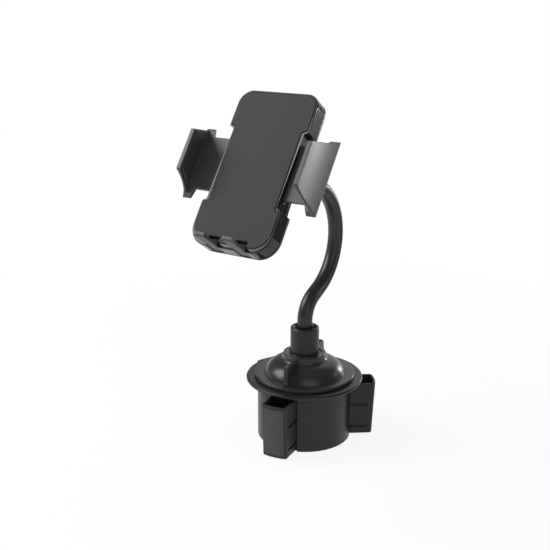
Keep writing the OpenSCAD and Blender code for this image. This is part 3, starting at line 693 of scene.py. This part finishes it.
# %% Sweep the sleeve
SLEEVE_SIDES = 64
SLEEVE_R = (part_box("neck_sleeve")[1][0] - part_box("neck_sleeve")[0][0]) / 2
g, inputs = geometry_graph("swept_sleeve", [
    ("Radius", "NodeSocketFloat"), ("Sides", "NodeSocketInt"), ("Finish", "NodeSocketMaterial")])
line = g.node("GeometryNodeMeshToCurve", {}, {"Mesh": inputs["Geometry"]})
ring = g.node("GeometryNodeCurvePrimitiveCircle", {},
              {"Radius": inputs["Radius"], "Resolution": inputs["Sides"]})
tube = g.node("GeometryNodeCurveToMesh", {},
              {"Curve": line, "Profile Curve": ring, "Fill Caps": False})
sleeve_tree = end_tree(g, tube, inputs["Finish"])
sleeve = run_tree(points_object("sleeve", neck_points, joined=True), sleeve_tree, {
    "Radius": SLEEVE_R, "Sides": SLEEVE_SIDES, "Finish": finishes["sleeve_smooth"]})
print("sleeve", len(sleeve.data.vertices), "points, radius", round(SLEEVE_R / MM, 2), "mm")

# %% Close a mesh that is made ring by ring


def join_rings(bm, rings):
    """Faces between rings of points that follow each other; a ring of one point is a pole."""
    for low, high in zip(rings, rings[1:]):
        sides = max(len(low), len(high))
        for k in range(sides):
            n = (k + 1) % sides
            corners = [low[k % len(low)], low[n % len(low)],
                       high[n % len(high)], high[k % len(high)]]
            bm.faces.new(list(dict.fromkeys(corners)))


def closed_mesh(bm, name):
    """Turns all faces outwards and ends the work on a mesh."""
    bmesh.ops.recalc_face_normals(bm, faces=bm.faces)
    mesh = bpy.data.meshes.new(name)
    bm.to_mesh(mesh)
    bm.free()
    return mesh


# %% Part the sleeve between its two bends
PART_AT_HEADING = 70.0
low_bend_end = neck_headings.index(min(neck_headings))
part_ring = next(i for i, h in enumerate(neck_headings) if i > low_bend_end and h >= PART_AT_HEADING)


def sleeve_part(name, first, last):
    """The rings from first to last as a closed tube."""
    bm = bmesh.new()
    rings = []
    for i in range(first, last + 1):
        row = sleeve.data.vertices[i * SLEEVE_SIDES:(i + 1) * SLEEVE_SIDES]
        rings.append([bm.verts.new(v.co) for v in row])
    join_rings(bm, rings)
    bm.faces.new(rings[0])
    bm.faces.new(rings[-1])
    obj = smooth(new_object(name, closed_mesh(bm, name)))
    dress(obj, "sleeve_smooth")
    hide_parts("neck_sleeve")
    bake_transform(obj)
    return obj


halves = [sleeve_part("sleeve_low", 0, part_ring),
          sleeve_part("sleeve_high", part_ring, len(neck_points) - 1)]
bpy.data.objects.remove(sleeve)
print([half.name for half in halves], "parted at ring", part_ring)

# %% [markdown]
# ## Screws
# Three screws hold the base's cover and four hold the cradle's rear shell. Each is a turned pan head
# with a cross recess. Seven could be modelled one by one, but one head is made by turning a profile
# and cutting a tapered cross from it, and Geometry Nodes then put it on each spot, along the hole's
# axis, at a turn that a seed fixes.

# %% Turn a profile, and shape the cross that cuts it
CROSS_ABOVE, CROSS_TAPER = -0.2, 0.55
QUARTER_TURNS = [(1, 0), (0, 1), (-1, 0), (0, -1)]


def lathe(profile, sides):
    """A closed turned mesh from (radius, height) points that start and end on the axis, in mm."""
    bm = bmesh.new()
    turns = [2 * math.pi * k / sides for k in range(sides)]
    rings = []
    for radius, height in profile:
        if radius == 0:
            rings.append([bm.verts.new((0, 0, height * MM))])
        else:
            rings.append([bm.verts.new((radius * MM * math.cos(a), radius * MM * math.sin(a),
                                        height * MM)) for a in turns])
    join_rings(bm, rings)
    return closed_mesh(bm, "turned")


def cross_cutter(reach, width, depth):
    """A tapered cross, from just outside the head's face down to the depth, in mm."""
    arm = [(reach, width), (width, width), (width, reach)]
    ring = [(x * c - y * s, x * s + y * c) for c, s in QUARTER_TURNS for x, y in arm]
    bm = bmesh.new()
    top = [bm.verts.new((x * MM, y * MM, CROSS_ABOVE * MM)) for x, y in ring]
    low = [bm.verts.new((CROSS_TAPER * x * MM, CROSS_TAPER * y * MM, depth * MM)) for x, y in ring]
    bm.faces.new(top)
    bm.faces.new(low)
    join_rings(bm, [top, low])
    return closed_mesh(bm, "cross")


# %% One screw
SCREW_SIDES = 40
HEAD_SHARES = [(0.62, 0), (0.82, 0.06), (0.95, 0.25), (1, 0.55), (1, 1)]
CROSS_REACH, CROSS_WIDTH, CROSS_DEPTH = 0.62, 0.17, 0.75


def one_screw(head_r, head_h, shank_r, length):
    profile = [(0, 0)] + [(r * head_r, h * head_h) for r, h in HEAD_SHARES]
    profile += [(shank_r, head_h), (shank_r, length - shank_r), (0, length)]
    screw = new_object("screw_pattern", lathe(profile, SCREW_SIDES))
    cross = cross_cutter(CROSS_REACH * head_r, CROSS_WIDTH * head_r, CROSS_DEPTH * head_h)
    cutter = new_object("screw_cross", cross)
    cut = screw.modifiers.new("cross", "BOOLEAN")
    cut.operation = "DIFFERENCE"
    cut.solver = "EXACT"
    cut.object = cutter
    bake(screw)
    bpy.data.objects.remove(cutter)
    return screw


# %% Screw tree
g, inputs = geometry_graph("screws_on_spots", [
    ("Pattern", "NodeSocketObject"), ("Axis", "NodeSocketVector"), ("Seed", "NodeSocketInt"),
    ("Finish", "NodeSocketMaterial")])
pattern = g.node("GeometryNodeObjectInfo", {}, {"Object": inputs["Pattern"]}, output="Geometry")
upright = g.node("FunctionNodeAlignRotationToVector", {"axis": "Z"}, {"Vector": inputs["Axis"]})
turn = g.node("FunctionNodeRandomValue", {"data_type": "FLOAT"},
              {2: 0.0, 3: math.pi / 2, "Seed": inputs["Seed"]}, output=1)
spin = g.node("FunctionNodeAxisAngleToRotation", {}, {"Axis": (0, 0, 1), "Angle": turn})
turned = g.node("FunctionNodeRotateRotation", {"rotation_space": "LOCAL"}, {0: upright, 1: spin})
spots = g.node("GeometryNodeInstanceOnPoints", {}, {
    "Points": inputs["Geometry"], "Instance": pattern, "Rotation": turned})
screw_tree = end_tree(g, spots, inputs["Finish"])
print("screw tree", len(screw_tree.nodes), "nodes")

# %% A set of screws
SCREW_SMOOTH_BELOW = 35.0


def screw_set(node, places, axis, sizes, finish, seed):
    pattern = one_screw(*sizes)
    obj = points_object(node + "_set", places)
    run_tree(obj, screw_tree, {
        "Pattern": pattern, "Axis": axis, "Seed": seed, "Finish": finishes[finish]})
    bpy.data.objects.remove(pattern)
    print(obj.name, len(obj.data.polygons), "faces")
    return stand_in(smooth(obj, SCREW_SMOOTH_BELOW), node, finish)


# %% Screws in the base and behind the cradle
COVER_RING, COVER_TURNS, COVER_FACE = 26.5, (-22.5, 97.5, 217.5), 0.3
COVER_SCREW, COVER_SEED = (2.5, 1.1, 1.5, 10.5), 3
BACK_SIDES, BACK_HEIGHTS, BACK_FACE = (-22.5, 22.5), (41.0, -40.5), -12.3
BACK_SCREW, BACK_SEED = (2.4, 0.9, 1.2, 8.1), 5
cover_places = [(COVER_RING * math.cos(math.radians(a)), COVER_RING * math.sin(math.radians(a)),
                 COVER_FACE) for a in COVER_TURNS]
screw_set("cover_screws", cover_places, (0, 0, 1), COVER_SCREW, "plated_steel", COVER_SEED)
back_places = [in_cradle(u, v, BACK_FACE) for u in BACK_SIDES for v in BACK_HEIGHTS]
screw_set("back_screws", back_places, tuple(CRADLE_N), BACK_SCREW, "black_steel", BACK_SEED)

# %% [markdown]
# ## Arrow on the knob
# A plain raised arrow on the knob's dome shows which way to turn it. A flat arrow pressed on with a
# Shrinkwrap would stretch at the sides, so its outline is laid out as an angle and a radius about the
# knob's axis, and each point takes its height from the circle that the dome is turned from.

# %% The arrow's outline on the dome
DOME_R, DOME_Z, DOME_BEND = 14.5, 42.2, 14.6
ARROW_TIP, ARROW_TAIL, ARROW_HEAD = -36.0, -8.0, 9.0
ARROW_SHAFT_HALF, ARROW_HEAD_HALF, ARROW_TIP_HALF = 0.65, 1.8, 0.03
ARROW_NECK, ARROW_STEPS = 0.02, 8


def dome_height(radius):
    return DOME_Z + math.sqrt(DOME_BEND ** 2 - (radius - DOME_R) ** 2)


def arrow_stations():
    """Angle and half width along the arrow, from its tip to its tail."""
    shares = [k / ARROW_STEPS for k in range(ARROW_STEPS + 1)]
    for share in shares:
        yield ARROW_TIP + ARROW_HEAD * share, max(ARROW_TIP_HALF, ARROW_HEAD_HALF * share)
    shaft = ARROW_TIP + ARROW_HEAD + ARROW_NECK
    for share in shares:
        yield shaft + (ARROW_TAIL - shaft) * share, ARROW_SHAFT_HALF


# %% Raised arrow
ARROW_RING, ARROW_LIFT, ARROW_SINK = 24.3, 0.32, 0.15
ARROW_SMOOTH_BELOW = 30.0


def on_knob(obj):
    dress(obj, "knob_semi_gloss")
    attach(obj, "knob")
    print(obj.name, len(obj.data.polygons), "faces")


bm = bmesh.new()
rings = []
for angle, half in arrow_stations():
    a = math.radians(angle)
    ring = []
    for side, lift in ((-1, ARROW_LIFT), (1, ARROW_LIFT), (1, -ARROW_SINK), (-1, -ARROW_SINK)):
        radius = ARROW_RING + side * half
        height = dome_height(radius) + lift
        ring.append(bm.verts.new(Vector((radius * math.cos(a), radius * math.sin(a), height)) * MM))
    rings.append(ring)
join_rings(bm, rings)
bm.faces.new(rings[0])
bm.faces.new(rings[-1])
arrow = new_object("turn_arrow", closed_mesh(bm, "turn_arrow"))
on_knob(smooth(arrow, ARROW_SMOOTH_BELOW))

# %% [markdown]
# ## Skirt of the knob
# The knob's skirt is a thick ring with a soft upper edge that catches the light. The CAD skirt is
# thinner, and a bevel on it would leave no flat between its edges. A ring turned from a closed outline
# gives that edge at a full radius, and it covers the CAD skirt, which stays inside it.

# %% Turned skirt
SKIRT_IN, SKIRT_OUT, SKIRT_LOW, SKIRT_TOP = 27.6, 35.0, 44.55, 46.9
SKIRT_ROUND, SKIRT_UNDER, SKIRT_SIDES, CORNER_STEPS = 0.8, 0.35, 192, 6
LOW_FLAT, TOP_FLAT = 6.0, 1.5


def round_corner(r, z, radius, first, last):
    turns = [math.radians(first + (last - first) * k / CORNER_STEPS) for k in range(CORNER_STEPS + 1)]
    return [(r + radius * math.cos(a), z + radius * math.sin(a)) for a in turns]


outline = [(SKIRT_IN, SKIRT_LOW), (SKIRT_OUT - LOW_FLAT, SKIRT_LOW)]
outline += round_corner(SKIRT_OUT - SKIRT_UNDER, SKIRT_LOW + SKIRT_UNDER, SKIRT_UNDER, -90, 0)
outline += round_corner(SKIRT_OUT - SKIRT_ROUND, SKIRT_TOP - SKIRT_ROUND, SKIRT_ROUND, 0, 90)
outline += [(SKIRT_IN + TOP_FLAT, SKIRT_TOP), (SKIRT_IN, SKIRT_TOP)]
bm = bmesh.new()
rings = []
for k in range(SKIRT_SIDES):
    a = 2 * math.pi * k / SKIRT_SIDES
    rings.append([bm.verts.new(Vector((r * math.cos(a), r * math.sin(a), z)) * MM) for r, z in outline])
join_rings(bm, [*rings, rings[0]])
on_knob(smooth(new_object("knob_skirt", closed_mesh(bm, "knob_skirt"))))

# %% [markdown]
# ## Floor
# The photograph has a white surround with no visible edge. More light on a grey floor would also burn
# out the object, so the floor shows plain white to the camera, in reflections and through glass. Near
# the object a share of its own shading stays, so it keeps a soft shadow; that share fades out before
# the horizon. Under the base the floor is only shaded, so that no white shows through its slots.

# %% Floor
FLOOR_SIZE, FLOOR_GREY, WHITE = 8, (0.9, 0.9, 0.9, 1), (1, 1, 1, 1)
FLOOR_SHARE, SHADE_NEAR, SHADE_FAR, UNDER_BASE = 0.12, 0.1, 0.5, 0.031
material, g = material_graph("floor_white")
away = g.node("ShaderNodeVectorMath", {"operation": "LENGTH"}, {0: g.place()}, output="Value")
near = g.node("ShaderNodeMapRange", {"interpolation_type": "SMOOTHSTEP"}, {
    "Value": away, "From Min": SHADE_NEAR, "From Max": SHADE_FAR,
    "To Min": FLOOR_SHARE, "To Max": 0.0})
under = g.node("ShaderNodeMath", {"operation": "LESS_THAN"}, {0: away, 1: UNDER_BASE})
lit = g.node("ShaderNodeBsdfDiffuse", {}, {"Color": FLOOR_GREY})
white = g.node("ShaderNodeEmission", {}, {"Color": WHITE, "Strength": 1.0})
shown = g.seen() * (1 - near.most(under))
surface = g.node("ShaderNodeMixShader", {}, {0: shown, 1: lit, 2: white})
g.node("ShaderNodeOutputMaterial", {}, {"Surface": surface})
bpy.ops.mesh.primitive_plane_add(size=FLOOR_SIZE)
floor = bpy.context.object
floor.name = "floor"
floor.data.materials.append(material)
print("floor", FLOOR_SIZE, "m, shaded to", SHADE_FAR, "m")

# %% [markdown]
# ## World
# Above the floor the surround is the world. It is white where the camera or a reflection sees it, and
# gives the object only a weak even light, so that the lamps can model its form.

# %% World
AMBIENT = 0.4
world = bpy.data.worlds.new("studio")
bpy.context.scene.world = world
world.use_nodes = True
g = Graph(world.node_tree)
shown = g.node("ShaderNodeBackground", {}, {"Color": WHITE, "Strength": 1.0})
ambient = g.node("ShaderNodeBackground", {}, {"Color": WHITE, "Strength": AMBIENT})
mixed = g.node("ShaderNodeMixShader", {}, {0: g.seen(), 1: ambient, 2: shown})
g.node("ShaderNodeOutputWorld", {}, {"Surface": mixed})
print("even light", AMBIENT)

# %% [markdown]
# ## Dark cards
# Gloss black plastic shows what stands round it, and in an all-white room it looks grey. A studio puts
# black cloth in front and above, with gaps where light comes through. Darker paint on the object would
# look wrong in other light, so here are such cards: three parts of a sphere and one on the floor
# behind. Only reflections see them, and they cast no shadow.

# %% A card that only reflections see
HIDDEN_FROM = ("camera", "diffuse", "transmission", "volume_scatter", "shadow")


def card(name, glow, corners_by_row):
    material, g = material_graph(name)
    g.node("ShaderNodeOutputMaterial", {}, {
        "Surface": g.node("ShaderNodeEmission", {}, {"Color": WHITE, "Strength": glow})})
    mesh = bpy.data.meshes.new(name)
    wide = len(corners_by_row[0])
    points = [p for row in corners_by_row for p in row]
    faces = [(r * wide + c, r * wide + c + 1, (r + 1) * wide + c + 1, (r + 1) * wide + c)
             for r in range(len(corners_by_row) - 1) for c in range(wide - 1)]
    mesh.from_pydata(points, [], faces)
    mesh.materials.append(material)
    obj = new_object(name, mesh)
    for ray in HIDDEN_FROM:
        setattr(obj, "visible_" + ray, False)
    print(name, "glow", glow, "faces", len(faces))


# %% A card on a part of a sphere
OBJECT_AT = Vector((0, 0, 0.12))
CARD_AWAY, CARD_STEPS = 1.7, 24


def direction(azimuth, elevation, distance, centre):
    """A point seen from the centre at two angles in degrees, azimuth from +X towards +Y."""
    a, e = math.radians(azimuth), math.radians(elevation)
    way = Vector((math.cos(e) * math.cos(a), math.cos(e) * math.sin(a), math.sin(e)))
    return Vector(centre) + distance * way


def dome_card(name, glow, azimuths, elevations):
    ways, heights = [[ends[0] + (ends[1] - ends[0]) * k / CARD_STEPS for k in range(CARD_STEPS + 1)]
                     for ends in (azimuths, elevations)]
    card(name, glow, [[direction(a, e, CARD_AWAY, OBJECT_AT) for a in ways] for e in heights])


# %% Place the cards
FLOOR_CARD_GLOW, CARD_Z = 0.01, 0.001
FLOOR_CARD = [[(0.16, 0.20, CARD_Z), (0.75, 0.55, CARD_Z)],
              [(0.02, 0.30, CARD_Z), (0.25, 1.15, CARD_Z)]]
dome_card("card_front", 0.12, (200, 440), (2, 88))
dome_card("card_back", 0.16, (128, 200), (2, 50))
dome_card("card_back_high", 0.03, (80, 200), (50, 88))
card("card_floor_behind", FLOOR_CARD_GLOW, FLOOR_CARD)

# %% [markdown]
# ## Lamps
# A large soft lamp at the upper left is the key light, and a weaker one at the front right fills the
# shadows. Two small lamps from behind at the right have a narrow spread, like a lamp with a grid: one
# gives the jaw its sheen, one draws the edge of the base. A single stronger lamp would reach both, but
# also burn out the knob's dome.

# %% Lamps


def soft_lamp(name, at, target, width, height, watts, spread):
    data = bpy.data.lights.new(name, "AREA")
    data.shape = "RECTANGLE"
    data.size = width
    data.size_y = height
    data.energy = watts
    data.spread = math.radians(spread)
    lamp = bpy.data.objects.new(name, data)
    bpy.context.collection.objects.link(lamp)
    aim(lamp, at, target)
    lamp.visible_camera = False


JAW_AT = in_cradle(46, 0, 5) * MM
BASE_AT = Vector((0, 0, 0.045))
OPEN = 180
# target, azimuth, elevation and distance from it, width, height, watts, spread in degrees
lamps = {
    "key_lamp": (OBJECT_AT, 207, 39, 1.1, 0.65, 0.65, 11.0, OPEN),
    "fill_lamp": (OBJECT_AT, 320, 26, 1.2, 0.8, 0.8, 2.4, OPEN),
    "jaw_lamp": (JAW_AT, 56, 6, 0.45, 0.09, 0.1, 0.128, 36),
    "rim_lamp": (BASE_AT, 80, 8, 0.8, 0.12, 0.2, 0.05, 32),
}
for name, (target, azimuth, elevation, distance, *rest) in lamps.items():
    soft_lamp(name, direction(azimuth, elevation, distance, target), target, *rest)
print(len(lamps), "lamps")
